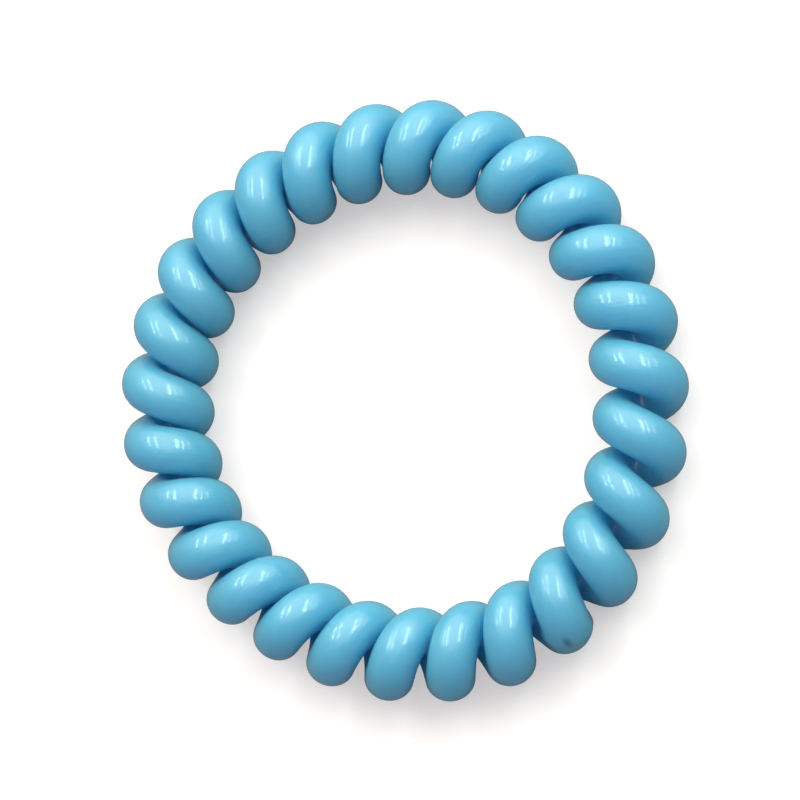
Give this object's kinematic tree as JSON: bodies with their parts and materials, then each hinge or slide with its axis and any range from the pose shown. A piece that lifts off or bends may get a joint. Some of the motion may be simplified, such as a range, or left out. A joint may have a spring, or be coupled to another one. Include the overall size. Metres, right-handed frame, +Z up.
{
  "type": "spiral hair tie",
  "caption": "Ring-shaped hair tie: an elastic plastic cord coiled left-handed, bent round and welded to itself, which stretches round a ponytail and grips it.",
  "frame": {"origin": "middle of the ring, on the surface that it lies on", "axes": "+Z up, square to the plane of the ring; +X and +Y across the ring"},
  "size_m": [0.0548, 0.0546, 0.0087],
  "materials": {
    "coil_plastic": "glossy, slightly translucent elastic polyurethane, sky blue all through"
  },
  "bodies": {
    "root": {"spiral_coil": "coil_plastic"}
  },
  "joints": []
}
